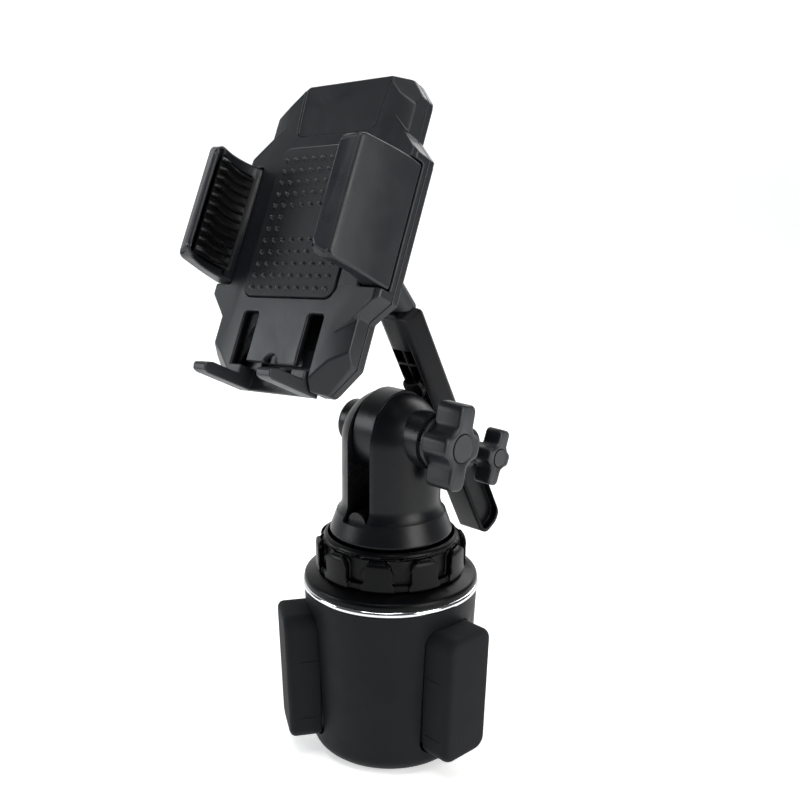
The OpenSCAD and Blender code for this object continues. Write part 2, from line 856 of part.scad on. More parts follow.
module rear_body() {
    difference() {
        union() {
            face_extrude(part_y, back_y - 1.5) {
                cradle_outline();
                wing_outline();
            }
            face_extrude(back_y - 1.5, back_y) {
                cradle_outline(-1.2);
                both_sides() polygon([[0, 34], [facet_x, 34], [wing_u - 1.2, 22.4],
                    [wing_u - 1.2, -24], [facet_x, -36], [0, -36]]);
            }
            translate([0, 0, ball_up]) rod_y(socket_r + 3, back_y - 1, back_y + 6);
            translate([0, 0, ball_up]) rod_y(socket_r, back_y - 1, ball_depth + 1.8);
        }
        difference() {
            face_extrude(part_y - 1, back_y - 1.9) shell_hollow();
            shell_screw_places() rod_y(3.2, 0, back_y);
            translate([0, 0, gear_z]) rod_y(3.4, 7.4, back_y);
            translate([-11, 0, -47]) cube([22, back_y, 20]);
        }
        translate([0, ball_depth, ball_up]) {
            sphere(seat_r + 0.1, $fn = 96);
            rod_y(seat_r + 0.1, 0, 5);
        }
        translate([0, 0, gear_z]) rod_y(1.25, part_y - 1, back_y + 2);
        shell_screw_places() {
            rod_y(1.3, 0, back_y + 1);
            rod_y(2.4, back_y - 2.2, back_y + 1);
        }
        face_extrude(part_y - 1, back_y + 1)
            translate([-slot_x - foot_slot_w / 2, bottom_z - 5])
                square([2 * slot_x + foot_slot_w, tongue_z - bottom_z + 5]);
    }
}

module rear_shell() {
    color(shell_black) at_cradle() {
        rear_body();
        // rails behind the racks and beside the feet's bracket
        for (s = [-1, 1]) {
            translate([s * 22 - 2.5, rack_y1 + 0.3, gear_z + (s > 0 ? 7.5 : -12.3)])
                cube([5, 5, 4.8]);
            translate([s * 19.3 - 1.3, 5, -43.8]) cube([2.6, 5, 18.8]);
        }
    }
}

module shell_screws() {
    color(steel) at_cradle() shell_screw_places() difference() {
        union() {
            rod_y(1.3, shell_wall, back_y - 0.6);
            rod_y(2.3, back_y - 2.2, back_y - 0.6);
        }
        rod_y(0.9, back_y - 1.4, back_y);
    }
}

// Clamp profile in (x, y) without its liner, for the right side
module clamp_profile() {
    outer = concat([[wing_u - 0.1, pocket_y - 0.2], [wing_u - 0.1, 0], [37.3, -4.5],
        [36.7, -9], [35.8, -13.5]], arc([32.4, lip_y + 3.8], 2.2, 348, 285, 6));
    inner = concat(arc([28.6, lip_y + 1.2], 1.2, 270, 200, 4), [[27.4, -20.3], [9, -20.3],
        [9, 0], [clamp_x, 0], [clamp_x, pocket_y - 0.2]]);
    difference() {
        polygon(concat(outer, inner));
        translate(jaw_c) circle(jaw_r, $fn = 96);
    }
}

// Side view that rounds the clamp's free corners, drawn in (y, z)
module clamp_side() {
    polygon(concat([[pocket_y, clamp_z0], [0, clamp_z0]],
        arc([lip_y + 5, clamp_z0 + 6], 5, 270, 180, 7),
        arc([lip_y + 5, clamp_z1 - 6], 5, 180, 90, 7),
        [[0, clamp_z1], [pocket_y, clamp_z1]]));
}

liner_z0 = clamp_z0 + 3.4;
liner_z1 = clamp_z1 - 4.6;
liner_t = 1.5;

module liner_zone(grow) {
    translate([20, -19 - grow, liner_z0 - grow])
        cube([15, 17 + 2 * grow, liner_z1 - liner_z0 + 2 * grow]);
}

// Rack tooth line along x with its teeth pointing to -Z
module rack(x0, x1, height) {
    pitch = PI * 2 * gear_r / gear_teeth;
    n = floor((x1 - x0) / pitch) - 1;
    half = pitch / 4 - backlash / 2;
    lean = tan(20);
    face_extrude(rack_y0, rack_y1) {
        translate([x0, 1.25]) square([x1 - x0, height - 1.25]);
        for (i = [-n:n]) let (c = i * pitch)
            if (c - half - 1 > x0 && c + half + 1 < x1 - 9)
                polygon([[c - half - 1.3 * lean, 1.3], [c - half + 0.7 * lean, -0.7],
                    [c + half - 0.7 * lean, -0.7], [c + half + 1.3 * lean, 1.3]]);
    }
}

// Right-hand clamp; the left one is the same part turned half round about the gear
module clamp_half(rack_end) {
    intersection() {
        linear_extrude(100, center = true) clamp_profile();
        side_extrude(200) clamp_side();
    }
    translate([0, 0, gear_z + gear_r]) rack(-rack_reach, rack_end, 6.6);
}

module clamp_right() {
    color(shell_black) at_cradle() difference() {
        clamp_half(clamp_x + 1);
        intersection() {
            translate([jaw_c[0], jaw_c[1], 0]) rod_z(jaw_r + liner_t, -40, 40);
            liner_zone(0);
        }
    }
}

module clamp_left() {
    color(shell_black) at_cradle() difference() {
        union() {
            mirror([1, 0, 0]) intersection() {
                linear_extrude(100, center = true) clamp_profile();
                side_extrude(200) clamp_side();
            }
            translate([0, 0, 2 * gear_z]) mirror([0, 0, 1]) mirror([1, 0, 0])
                translate([0, 0, gear_z + gear_r]) rack(-rack_reach, clamp_x + 1, 6.6);
        }
        mirror([1, 0, 0]) intersection() {
            translate([jaw_c[0], jaw_c[1], 0]) rod_z(jaw_r + liner_t, -40, 40);
            liner_zone(0);
        }
    }
}

// Rubber liner with eleven ribs across the jaw
module liner_half() {
    intersection() {
        union() {
            difference() {
                translate([jaw_c[0], jaw_c[1], 0]) rod_z(jaw_r + liner_t, liner_z0, liner_z1);
                translate([jaw_c[0], jaw_c[1], 0]) rod_z(jaw_r + 0.3, -40, 40);
            }
            for (i = [0:10]) difference() {
                z = liner_z0 + 1.3 + 3.14 * i;
                translate([jaw_c[0], jaw_c[1], 0]) rod_z(jaw_r + 1, z, z + 1.1);
                translate([jaw_c[0], jaw_c[1], 0]) rod_z(jaw_r - 0.9, -40, 40);
            }
        }
        liner_zone(-0.02);
    }
}

module liner_right() {
    color(soft_black) at_cradle() liner_half();
}

module liner_left() {
    color(soft_black) at_cradle() mirror([1, 0, 0]) liner_half();
}

// Involute flank points of the pinion, from its root to its tip
function involute(rb, r) = let (t = sqrt(r * r / rb / rb - 1)) t * 180 / PI - atan(t);
function flank(side, n = 6) = let (rb = gear_r * cos(20),
    half = 90 / gear_teeth - backlash / 4 / gear_r * 180 / PI + involute(rb, gear_r))
    [for (i = [0:n]) let (r = rb + 0.01 + (gear_r + 0.9 - rb) * i / n,
        a = side * (half - involute(rb, r))) r * [cos(a), sin(a)]];

module sync_pinion() {
    color([0.85, 0.85, 0.82]) at_cradle() translate([0, 0, gear_z]) difference() {
        union() {
            face_extrude(rack_y0, rack_y1) {
                circle(gear_r - 1.3);
                for (i = [0:gear_teeth - 1]) rotate((i + 0.5) * 360 / gear_teeth)
                    polygon(concat([[0, 0]], flank(-1), [for (k = [6:-1:0]) flank(1)[k]]));
            }
            rod_y(3.2, rack_y1, 7.2);
        }
        rod_y(1.6 + run_fit, 0, 9);
    }
}

module pinion_spring() {
    turns = 4;
    color(steel) at_cradle() translate([0, 0, gear_z]) face_extrude(rack_y1 + 0.5, rack_y1 + 2)
        polygon(concat(
            [for (a = [0:20:360 * turns]) (3.6 + a * 0.0035) * [cos(a), sin(a)]],
            [for (a = [360 * turns:-20:0]) (4.1 + a * 0.0035) * [cos(a), sin(a)]]));
}

module pinion_screw() {
    color(steel) at_cradle() translate([0, 0, gear_z]) {
        rod_y(1.6, rack_y0, 7.35);
        rod_y(1.25, 7.3, 9.6);
    }
}

module foot_bracket() {
    color(shell_black) at_cradle() {
        face_extrude(5.4, 7.2) difference() {
            translate([-17.4, -57]) square([34.8, 15]);
            translate([-9, -50]) square([18, 9]);
        }
        for (s = [-1, 1]) translate([s * slot_x, 0, 0]) {
            translate([-3, -1, -57]) cube([6, 8, 7]);
            side_extrude(6) polygon([[6, -57], [6, -53], [-12, -53], [-14.6, -53.9],
                [-15, -54.8], [-14.6, -56.4], [-13, -57]]);
        }
    }
}

cup_shell();
foot_pad();
base_screw();
guide_frame();
spindle();
trim_ring();
top_collar();
cam_plate();
dial_ring();
dial_screws();
slider_1();
slider_2();
slider_3();
grip_pad_1();
grip_pad_2();
grip_pad_3();
neck_yoke();
neck_bolt();
pivot_bolt();
pivot_cap();
pivot_washer();
friction_washers();
knob_1();
knob_1_insert();
knob_1_cap();
lower_link();
arm_beam();
elbow_bolt();
elbow_washer();
knob_2();
knob_2_insert();
knob_2_cap();
stem_collar();
ball_stud();
stud_pin();
ball_seat();
friction_ring();
ring_nut();
rear_shell();
at_cradle() front_shell();
shell_screws();
dot_pad();
clamp_left();
clamp_right();
liner_left();
liner_right();
sync_pinion();
pinion_spring();
pinion_screw();
foot_bracket();
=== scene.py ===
# Car phone mount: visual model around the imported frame. Metres, same frame as the CAD.
import json
import math

import bmesh
import bpy
from mathutils import Matrix, Vector


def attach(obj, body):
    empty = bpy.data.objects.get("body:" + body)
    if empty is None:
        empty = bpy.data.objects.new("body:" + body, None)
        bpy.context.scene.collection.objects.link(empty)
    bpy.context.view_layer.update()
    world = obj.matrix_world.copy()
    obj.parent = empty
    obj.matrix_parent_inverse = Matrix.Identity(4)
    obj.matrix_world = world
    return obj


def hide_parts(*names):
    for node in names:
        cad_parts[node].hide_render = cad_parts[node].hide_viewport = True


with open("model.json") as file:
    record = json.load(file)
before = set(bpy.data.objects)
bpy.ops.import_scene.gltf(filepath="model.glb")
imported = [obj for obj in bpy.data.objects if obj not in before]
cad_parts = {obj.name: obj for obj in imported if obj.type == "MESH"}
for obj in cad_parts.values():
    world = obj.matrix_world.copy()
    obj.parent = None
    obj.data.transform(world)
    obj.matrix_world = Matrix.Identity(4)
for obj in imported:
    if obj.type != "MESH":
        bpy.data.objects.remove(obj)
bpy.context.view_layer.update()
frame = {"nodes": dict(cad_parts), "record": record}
NODES = frame["nodes"]
scene = bpy.context.scene
MM = 0.001


# ---------------------------------------------------------------- materials
class Tree:
    """Small helper to wire a node material."""

    def __init__(self, name):
        """Starts an empty tree with one Principled shader."""
        self.mat = bpy.data.materials.new(name)
        self.mat.use_nodes = True
        self.nodes = self.mat.node_tree.nodes
        self.links = self.mat.node_tree.links
        self.nodes.clear()
        self.out = self.add("ShaderNodeOutputMaterial")
        self.bsdf = self.add("ShaderNodeBsdfPrincipled")
        self.link(self.bsdf.outputs[0], self.out.inputs["Surface"])
        self.coord = self.add("ShaderNodeTexCoord").outputs["Object"]

    def add(self, kind, **props):
        node = self.nodes.new(kind)
        for key, value in props.items():
            setattr(node, key, value)
        return node

    def link(self, a, b):
        self.links.new(a, b)

    def noise(self, scale, detail=4.0, rough=0.6, stretch=None):
        n = self.add("ShaderNodeTexNoise")
        n.inputs["Scale"].default_value = scale
        n.inputs["Detail"].default_value = detail
        n.inputs["Roughness"].default_value = rough
        if stretch:
            m = self.add("ShaderNodeMapping")
            m.inputs["Scale"].default_value = stretch
            self.link(self.coord, m.inputs["Vector"])
            self.link(m.outputs[0], n.inputs["Vector"])
        else:
            self.link(self.coord, n.inputs["Vector"])
        return n.outputs["Fac"]

    def ramp(self, value, low, high, a=0.3, b=0.7):
        r = self.add("ShaderNodeMapRange")
        r.inputs["From Min"].default_value = a
        r.inputs["From Max"].default_value = b
        r.inputs["To Min"].default_value = low
        r.inputs["To Max"].default_value = high
        self.link(value, r.inputs["Value"])
        return r.outputs[0]

    def mix(self, fac, c1, c2):
        m = self.add("ShaderNodeMix", data_type="RGBA")
        self.link(fac, m.inputs["Factor"])
        m.inputs[6].default_value = (*c1, 1)
        m.inputs[7].default_value = (*c2, 1)
        return m.outputs[2]

    def math(self, op, a, b):
        m = self.add("ShaderNodeMath", operation=op)
        for i, v in enumerate((a, b)):
            if isinstance(v, (int, float)):
                m.inputs[i].default_value = v
            else:
                self.link(v, m.inputs[i])
        return m.outputs[0]

    def edge_wear_and_highlight(self, spread=0.02):
        """Value near 1 on outer edges, 0.5 on flats."""
        g = self.add("ShaderNodeNewGeometry")
        return self.ramp(g.outputs["Pointiness"], 0.0, 1.0, 0.5 + spread, 0.5 + 4 * spread)

    def bump(self, height, strength, distance, before=None):
        b = self.add("ShaderNodeBump")
        b.inputs["Strength"].default_value = strength
        b.inputs["Distance"].default_value = distance
        self.link(height, b.inputs["Height"])
        if before:
            self.link(before, b.inputs["Normal"])
        self.link(b.outputs[0], self.bsdf.inputs["Normal"])
        return b.outputs[0]


def plastic(name, dark, light, rough, grain=5200.0, depth=0.00003, spec=0.5, speck=0.0):
    """Moulded plastic: spark-eroded grain, faint flow mottling, polished edges and scuffs, and
    outer edges painted lighter as a painted highlight.
    """
    t = Tree(name)
    mottle = t.noise(38.0, 5.0, 0.55)
    fine = t.noise(grain, 2.0, 0.5)
    base = t.mix(t.ramp(mottle, 0.0, 1.0), dark, light)
    edge = t.edge_wear_and_highlight()
    # painted highlight: outer edges are mixed towards a lighter colour that stands in for light
    # caught by the edges; only the roughness drop on edges is real polish
    m = t.add("ShaderNodeMix", data_type="RGBA")
    t.link(t.math("MULTIPLY", edge, 0.35), m.inputs["Factor"])
    t.link(base, m.inputs[6])
    m.inputs[7].default_value = (*[min(1.0, c * 1.9 + 0.01) for c in light], 1)
    t.link(m.outputs[2], t.bsdf.inputs["Base Color"])
    smear = t.noise(120.0, 6.0, 0.7)
    r = t.math("ADD", t.ramp(smear, rough - 0.05, rough + 0.06), t.ramp(fine, -0.03, 0.03))
    t.link(t.math("SUBTRACT", r, t.math("MULTIPLY", edge, 0.08)), t.bsdf.inputs["Roughness"])
    t.bsdf.inputs["Specular IOR Level"].default_value = spec
    first = t.bump(fine, 0.55, depth)
    t.bump(t.noise(420.0, 3.0, 0.5), 0.12, 0.00004, first)
    return t.mat


def rubber(name, dark, light, rough, spec):
    """Moulded rubber: fine grain and a little dust in soft patches."""
    t = Tree(name)
    fine = t.noise(3600.0, 3.0, 0.6)
    dust = t.noise(70.0, 8.0, 0.72)
    t.link(t.mix(t.ramp(dust, 0.0, 1.0, 0.42, 0.66), dark, light), t.bsdf.inputs["Base Color"])
    t.link(t.ramp(dust, rough - 0.06, rough + 0.08), t.bsdf.inputs["Roughness"])
    t.bsdf.inputs["Specular IOR Level"].default_value = spec
    t.bsdf.inputs["Sheen Weight"].default_value = 0.03
    t.bsdf.inputs["Sheen Roughness"].default_value = 0.5
    first = t.bump(fine, 0.6, 0.00004)
    t.bump(t.noise(300.0, 2.0, 0.5), 0.2, 0.00005, first)
    return t.mat


def metal(name, colour, rough, stretch, scratch=900.0, spread=0.05, bump=0.12):
    """Metal with fine scratches along the axis that stretch makes long, and dull patches."""
    t = Tree(name)
    brush = t.noise(scratch, 5.0, 0.65, stretch)
    stain = t.noise(60.0, 4.0, 0.6)
    dull = [c * 0.82 for c in colour]
    t.link(t.mix(t.ramp(stain, 0.0, 1.0), dull, colour), t.bsdf.inputs["Base Color"])
    t.bsdf.inputs["Metallic"].default_value = 1.0
    t.link(
        t.math("ADD", t.ramp(brush, rough - spread, rough + spread), t.ramp(stain, -0.02, 0.03)),
        t.bsdf.inputs["Roughness"],
    )
    t.bump(brush, bump, 0.00002)
    return t.mat


BLACK = plastic("satin_black", (0.0050, 0.0058, 0.0076), (0.0072, 0.0082, 0.0104), 0.40, spec=0.38)
GLOSSY = plastic("dial_black", (0.0006, 0.0007, 0.0010), (0.0010, 0.0011, 0.0016), 0.34,
                 depth=0.000012, spec=0.12)
NECK = plastic("neck_black", (0.0018, 0.0021, 0.0030), (0.0030, 0.0034, 0.0046), 0.34, spec=0.22)
CUP = plastic("cup_black", (0.0036, 0.0040, 0.0050), (0.0052, 0.0056, 0.0068), 0.50, spec=0.13)
ARM = plastic("arm_black", (0.0014, 0.0016, 0.0024), (0.0022, 0.0025, 0.0036), 0.34, spec=0.14)
INNER = plastic("inner_grey", (0.020, 0.021, 0.023), (0.030, 0.031, 0.033), 0.48)
ACETAL = plastic("acetal", (0.60, 0.60, 0.57), (0.70, 0.70, 0.67), 0.42)
RUBBER = rubber("pad_rubber", (0.0034, 0.0038, 0.0048), (0.0052, 0.0057, 0.0070), 0.80, spec=0.17)
GRIP = rubber("grip_rubber", (0.0055, 0.0062, 0.0075), (0.0080, 0.0088, 0.0104), 0.55, spec=0.32)
DOTS = rubber("dot_rubber", (0.0080, 0.0088, 0.0105), (0.0110, 0.0120, 0.0140), 0.34, spec=0.6)
LINER = rubber("liner_rubber", (0.0022, 0.0022, 0.0027), (0.0034, 0.0034, 0.0042), 0.30, spec=0.55)
CHROME = metal("chrome", (0.86, 0.87, 0.89), 0.10, (1, 1, 40), 300.0, 0.03, 0.03)
STEEL = metal("zinc_steel", (0.55, 0.56, 0.58), 0.28, (1, 1, 1))
BRASS = metal("brass", (0.62, 0.44, 0.18), 0.25, (30, 1, 1))

# the record's material slots, and the nodes whose finish differs from their slot's
SLOTS = {
    "satin_black": BLACK,
    "rubber": RUBBER,
    "steel": STEEL,
    "brass": BRASS,
    "acetal": ACETAL,
    "grey_plastic": INNER,
    "chrome_trim": CHROME,
}
SPECIAL = {
    "dial_ring": GLOSSY,
    "cup_shell": CUP,
    "arm_beam": ARM,
    "lower_link": NECK,
    "neck_yoke": NECK,
    "top_collar": GLOSSY,
    "dot_pad": GRIP,
    "liner_left": LINER,
    "liner_right": LINER,
}
for sub in frame["record"]["subparts"]:
    ob = NODES[sub["node"]]
    ob.data.materials.clear()
    ob.data.materials.append(SPECIAL.get(sub["node"], SLOTS[sub["material_slot"]]))


# ---------------------------------------------------------------- edges
def smoothing_group(angle):
    """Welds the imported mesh, drops its stored normals and marks edges sharp by angle."""
    g = bpy.data.node_groups.new("soften_%d" % round(math.degrees(angle)), "GeometryNodeTree")
    g.interface.new_socket("Geometry", in_out="INPUT", socket_type="NodeSocketGeometry")
    g.interface.new_socket("Geometry", in_out="OUTPUT", socket_type="NodeSocketGeometry")
    n = g.nodes
    src, dst = n.new("NodeGroupInput"), n.new("NodeGroupOutput")
    weld = n.new("GeometryNodeMergeByDistance")
    weld.inputs["Distance"].default_value = 0.000002
    drop = n.new("GeometryNodeRemoveAttribute")
    drop.inputs["Name"].default_value = "custom_normal"
    face = n.new("GeometryNodeSetShadeSmooth")
    face.domain = "FACE"
    edge = n.new("GeometryNodeSetShadeSmooth")
    edge.domain = "EDGE"
    edge.inputs["Shade Smooth"].default_value = False
    fold = n.new("GeometryNodeInputMeshEdgeAngle")
    over = n.new("ShaderNodeMath")
    over.operation = "GREATER_THAN"
    over.inputs[1].default_value = angle
    link = g.links.new
    link(src.outputs[0], weld.inputs["Geometry"])
    link(weld.outputs[0], drop.inputs["Geometry"])
    link(drop.outputs[0], face.inputs["Geometry"])
    link(face.outputs[0], edge.inputs["Geometry"])
    link(fold.outputs["Unsigned Angle"], over.inputs[0])
    link(over.outputs[0], edge.inputs["Selection"])
    link(edge.outputs[0], dst.inputs[0])
    return g


SOFT28 = smoothing_group(math.radians(28))
FLAT_WITHIN = math.radians(0.6)
EDGE_FROM = math.radians(30)


def soften(name, width):
    """Smooths a CAD node's round faces and rounds its edges by width, in millimetres."""
    ob = NODES[name]
    ob.modifiers.new("soften", "NODES").node_group = SOFT28
    if width:
        flat = ob.modifiers.new("planar", "DECIMATE")
        flat.decimate_type = "DISSOLVE"
        flat.angle_limit = FLAT_WITHIN
        b = ob.modifiers.new("round", "BEVEL")
        b.width = width * MM
        b.segments = 3 if width > 0.2 else 2
        b.limit_method = "ANGLE"
        b.angle_limit = EDGE_FROM
        b.use_clamp_overlap = False
        b.harden_normals = True
        b.miter_outer = "MITER_ARC"


# edge rounding in millimetres; 0 leaves the node's own round edges alone
COMMON_WIDTH = 0.08
WIDTHS = {
    "front_shell": 0.6,
    "rear_shell": 0.4,
    "clamp_left": 1.0,
    "clamp_right": 1.0,
    "foot_bracket": 0.4,
    "knob_1_cap": 0.12,
    "knob_2_cap": 0.1,
    "neck_yoke": 0.0,
    "pivot_cap": 0.3,
    "lower_link": 0.5,
    "arm_beam": 0.3,
    "stem_collar": 0.3,
    "ring_nut": 0.15,
    "dial_ring": 0.6,
    "cup_shell": 0.25,
    "dot_pad": 0.3,
    "top_collar": 0.2,
    "trim_ring": 0.0,
    "ball_stud": 0.0,
    "foot_pad": 0.2,
}
for name in NODES:
    soften(name, WIDTHS.get(name, COMMON_WIDTH))


# ---------------------------------------------------------------- placing
def rot(axis, degrees):
    return Matrix.Rotation(math.radians(degrees), 4, axis)


def move(x, y, z):
    return Matrix.Translation((x * MM, y * MM, z * MM))


# the same places and leans as in the CAD source
PIVOT = (0, 0, 126.6)
ELBOW = (0, 35.5, 112.8)
BALL_ON_ARM = (0, -3.7, 93.7)
ARM_LEAN = 28.5
CRADLE_TILT = 27.5
CRADLE_ROLL = 5.5
SOCKET_ON_CRADLE = (0, 31, 2)

AT_ARM = move(*ELBOW) @ rot("X", ARM_LEAN)
AT_BALL = AT_ARM @ move(*BALL_ON_ARM)
AT_CRADLE = (
    AT_BALL
    @ rot("X", -CRADLE_TILT - ARM_LEAN)
    @ rot("Y", -CRADLE_ROLL)
    @ move(*SOCKET_ON_CRADLE).inverted()
)


def new_piece(name, bm, mat, body, place, smooth):
    """Object that rides a body; edges folded by more than smooth degrees stay sharp."""
    bmesh.ops.transform(bm, matrix=place, verts=bm.verts)
    bmesh.ops.recalc_face_normals(bm, faces=bm.faces)
    me = bpy.data.meshes.new(name)
    bm.to_mesh(me)
    bm.free()
    for p in me.polygons:
        p.use_smooth = True
    me.set_sharp_from_angle(angle=math.radians(smooth))
    ob = bpy.data.objects.new(name, me)
    scene.collection.objects.link(ob)
    me.materials.append(mat)
    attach(ob, body)
    return ob


def skin(bm, rings, close_start=True, close_end=True):
    """Quads between rings of equal length, with a flat face over each closed end."""
    n = len(rings[0])
    for lo, hi in zip(rings, rings[1:]):
        for k in range(n):
            bm.faces.new((lo[k], lo[(k + 1) % n], hi[(k + 1) % n], hi[k]))
    if close_start:
        bm.faces.new(list(reversed(rings[0])))
    if close_end:
        bm.faces.new(rings[-1])


# ---------------------------------------------------------------- pad dots
# radius and height of a dot's rings: a low dome with a small fillet at its foot
DOT_RINGS = [(0.98, 0.0), (0.86, 0.12), (0.76, 0.42), (0.62, 0.80), (0.36, 1.06)]
DOT_TOP = 1.14
DOT_SIDES = 16
DOT_PITCH = 4.17
DOT_ROWS, DOT_COLUMNS = 12, 9
DOT_X, DOT_Z = -0.6, -23.4
PAD_FRONT = -0.68


def is_smooth_middle(row, column):
    """The middle of the pad has no dots."""
    return row in (5, 6) and 2 <= column <= 6


def dot(bm, x, z):
    def at(radius, height, share):
        return bm.verts.new((
            (x + radius * math.cos(math.tau * share)) * MM,
            (PAD_FRONT - height) * MM,
            (z + radius * math.sin(math.tau * share)) * MM,
        ))

    rings = [[at(r, h, k / DOT_SIDES) for k in range(DOT_SIDES)] for r, h in DOT_RINGS]
    skin(bm, rings, close_end=False)
    top = at(0, DOT_TOP, 0)
    last = rings[-1]
    for k in range(DOT_SIDES):
        bm.faces.new((last[k], last[(k + 1) % DOT_SIDES], top))


def pad_dots():
    bm = bmesh.new()
    for row in range(DOT_ROWS):
        for column in range(DOT_COLUMNS):
            if not is_smooth_middle(row, column):
                dot(bm, DOT_X + (column - DOT_COLUMNS // 2) * DOT_PITCH, DOT_Z + row * DOT_PITCH)
    piece = new_piece("pad_dots", bm, DOTS, "cradle", AT_CRADLE, 60.0)


pad_dots()

# ---------------------------------------------------------------- expanding pads
# round-cornered blocks with a filleted, leaning outer face and thin ribs on their sides
PAD_Z0, PAD_Z1 = 8.5, 58.9
PAD_HALF = 11.0
PAD_CORNER = 5.0
PAD_BACK = 29.0
PAD_OUT = 43.0
PAD_LEAN = 1.9
PAD_FILLET = 2.4
PAD_TURN = -4
RIB_X0, RIB_X1 = 29.8, 38.4
RIB_HEIGHTS = (17.5, 41.0)
RIB_R = 0.30


def pad_outline(inset):
    """Points (y, z) of the pad's outline, moved inwards by inset."""
    pts = []
    r = max(PAD_CORNER - inset, 0.4)
    for cy, cz, a0 in ((1, 1, 0), (-1, 1, 90), (-1, -1, 180), (1, -1, 270)):
        y = cy * (PAD_HALF - inset - r)
        z = (PAD_Z1 - inset - r) if cz > 0 else (PAD_Z0 + inset + r)
        for k in range(10):
            a = math.radians(a0 + 10 * k)
            pts.append((y + r * math.cos(a), z + r * math.sin(a)))
    return pts


def pad_outer_x(z):
    """Distance of the outer face from the cup's axis: it leans in towards the foot."""
    return PAD_OUT - PAD_LEAN * (PAD_Z1 - z) / (PAD_Z1 - PAD_Z0)


def rib(bm, y, z):
    """Thin moulded rib along x, its ends tapered into the face."""
    rings = []
    for k in range(9):
        u = k / 8
        w = RIB_R * math.sqrt(max(0.02, math.sin(math.pi * u)))
        x = RIB_X0 + (RIB_X1 - RIB_X0) * u
        rings.append([
            bm.verts.new((x * MM, (y + w * math.cos(a * math.tau / 12)) * MM,
                          (z + w * math.sin(a * math.tau / 12)) * MM))
            for a in range(12)
        ])
    skin(bm, rings)


def pad_steps():
    """Rings as (inset, depth): behind, depth is from the back; in front, from the outer face."""
    back = [(0.6, 0.0), (0.15, 0.4), (0.0, 1.0), (0.0, 5.0)]
    front = [(0.0, 5.5), (0.0, PAD_FILLET)]
    for k in range(1, 9):
        a = math.radians(90 * k / 8)
        front.append((PAD_FILLET * (1 - math.cos(a)), PAD_FILLET * (1 - math.sin(a))))
    front += [(3.6, -0.05), (6.0, -0.12), (8.5, -0.16), (10.3, -0.17)]
    return back, front


def pad_piece(index, body):
    back, front = pad_steps()
    bm = bmesh.new()
    rings = []
    for inset, depth in back:
        rings.append([
            bm.verts.new(((PAD_BACK + depth) * MM, y * MM, z * MM)) for y, z in pad_outline(inset)
        ])
    for inset, depth in front:
        rings.append([
            bm.verts.new(((pad_outer_x(z) - depth) * MM, y * MM, z * MM))
            for y, z in pad_outline(inset)
        ])
    skin(bm, rings)
    for z in RIB_HEIGHTS:
        for side in (-1, 1):
            rib(bm, side * PAD_HALF, z)
    place = rot("Z", PAD_TURN + 120 * index)
    piece = new_piece("pad_%d" % (index + 1), bm, RUBBER, body, place, 50.0)
    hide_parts("grip_pad_%d" % (index + 1))


for i, body in enumerate(("pad_right", "pad_back", "pad_left")):
    pad_piece(i, body)


# ---------------------------------------------------------------- lobed knobs
KNOB_SIDES = 200
FACE_EDGE = 1.1


def round_bar(y, z, hy, hz, r):
    """Signed distance to a bar with round corners."""
    qy, qz = abs(y) - hy + r, abs(z) - hz + r
    return math.hypot(max(qy, 0), max(qz, 0)) + min(max(qy, qz), 0) - r


def smooth_min(a, b, k):
    h = max(0.0, min(1.0, 0.5 + 0.5 * (b - a) / k))
    return b * (1 - h) + a * h - k * h * (1 - h)


def knob_distance(y, z, long_r, short_r, w):
    """Signed distance to the outline: a smooth union of two crossed bars and a hub."""
    d = smooth_min(
        round_bar(y, z, w / 2, long_r, w * 0.34),
        round_bar(y, z, short_r, w * 0.47, w * 0.33),
        w * 0.42,
    )
    return smooth_min(d, math.hypot(y, z) - short_r * 0.74, w * 0.25)


def knob_ring(bm, x, inset, long_r, short_r, w):
    """Ring at x along the knob's outline moved in by inset, found by bisection."""
    ring = []
    for k in range(KNOB_SIDES):
        a = math.tau * k / KNOB_SIDES
        c, s = math.cos(a), math.sin(a)
        lo, hi = 0.5, long_r + 2.0
        for _ in range(26):
            mid = (lo + hi) / 2
            if knob_distance(mid * c, mid * s, long_r, short_r, w) < -inset:
                lo = mid
            else:
                hi = mid
        ring.append(bm.verts.new((x * MM, lo * c * MM, lo * s * MM)))
    return ring


def round_ring(bm, x, r):
    angles = [math.tau * k / KNOB_SIDES for k in range(KNOB_SIDES)]
    return [bm.verts.new((x * MM, r * math.cos(a) * MM, r * math.sin(a) * MM)) for a in angles]


